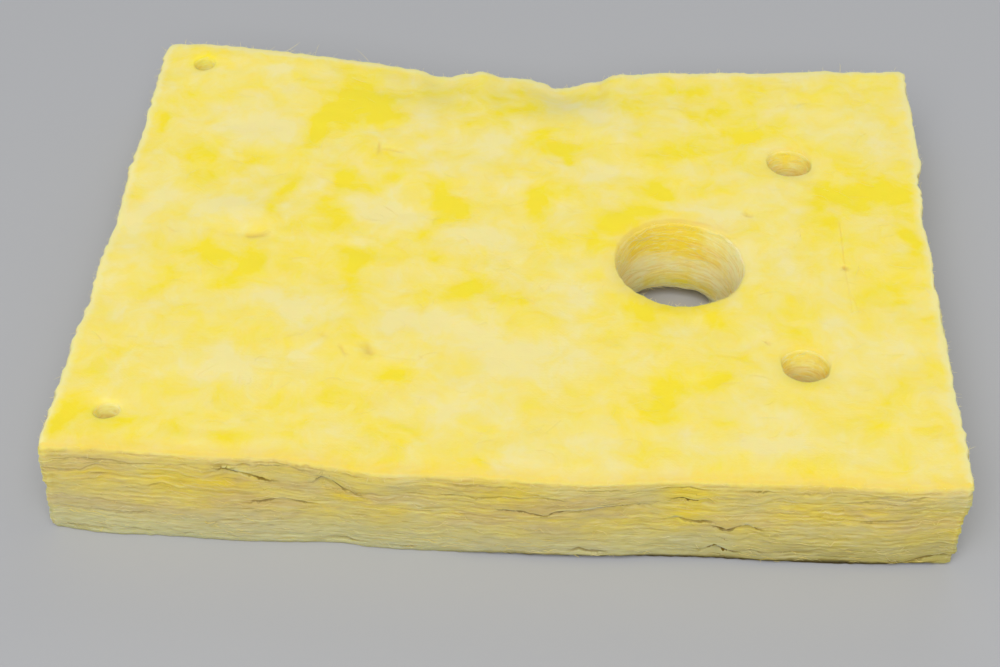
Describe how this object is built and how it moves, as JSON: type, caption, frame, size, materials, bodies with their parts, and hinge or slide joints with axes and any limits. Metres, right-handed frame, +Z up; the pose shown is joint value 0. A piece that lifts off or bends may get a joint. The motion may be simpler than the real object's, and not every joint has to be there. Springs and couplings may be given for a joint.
{
  "type": "boiler insulation mat",
  "caption": "Slab of yellow glass wool cut to line a boiler, pierced by a large round burner hole, two pipe holes and two bolt holes, with a dented rear edge.",
  "frame": {"origin": "centre of the bounding box of the underside, on the surface the mat lies on", "axes": "+X along the length towards the end with the burner and pipe holes, +Y towards the dented rear edge, +Z up through the thickness"},
  "size_m": [0.6, 0.465, 0.075],
  "materials": {
    "glass_wool": "soft matt fibrous glass wool, mottled pale and deep yellow"
  },
  "bodies": {
    "root": {"insulation_mat": "glass_wool"}
  },
  "joints": []
}
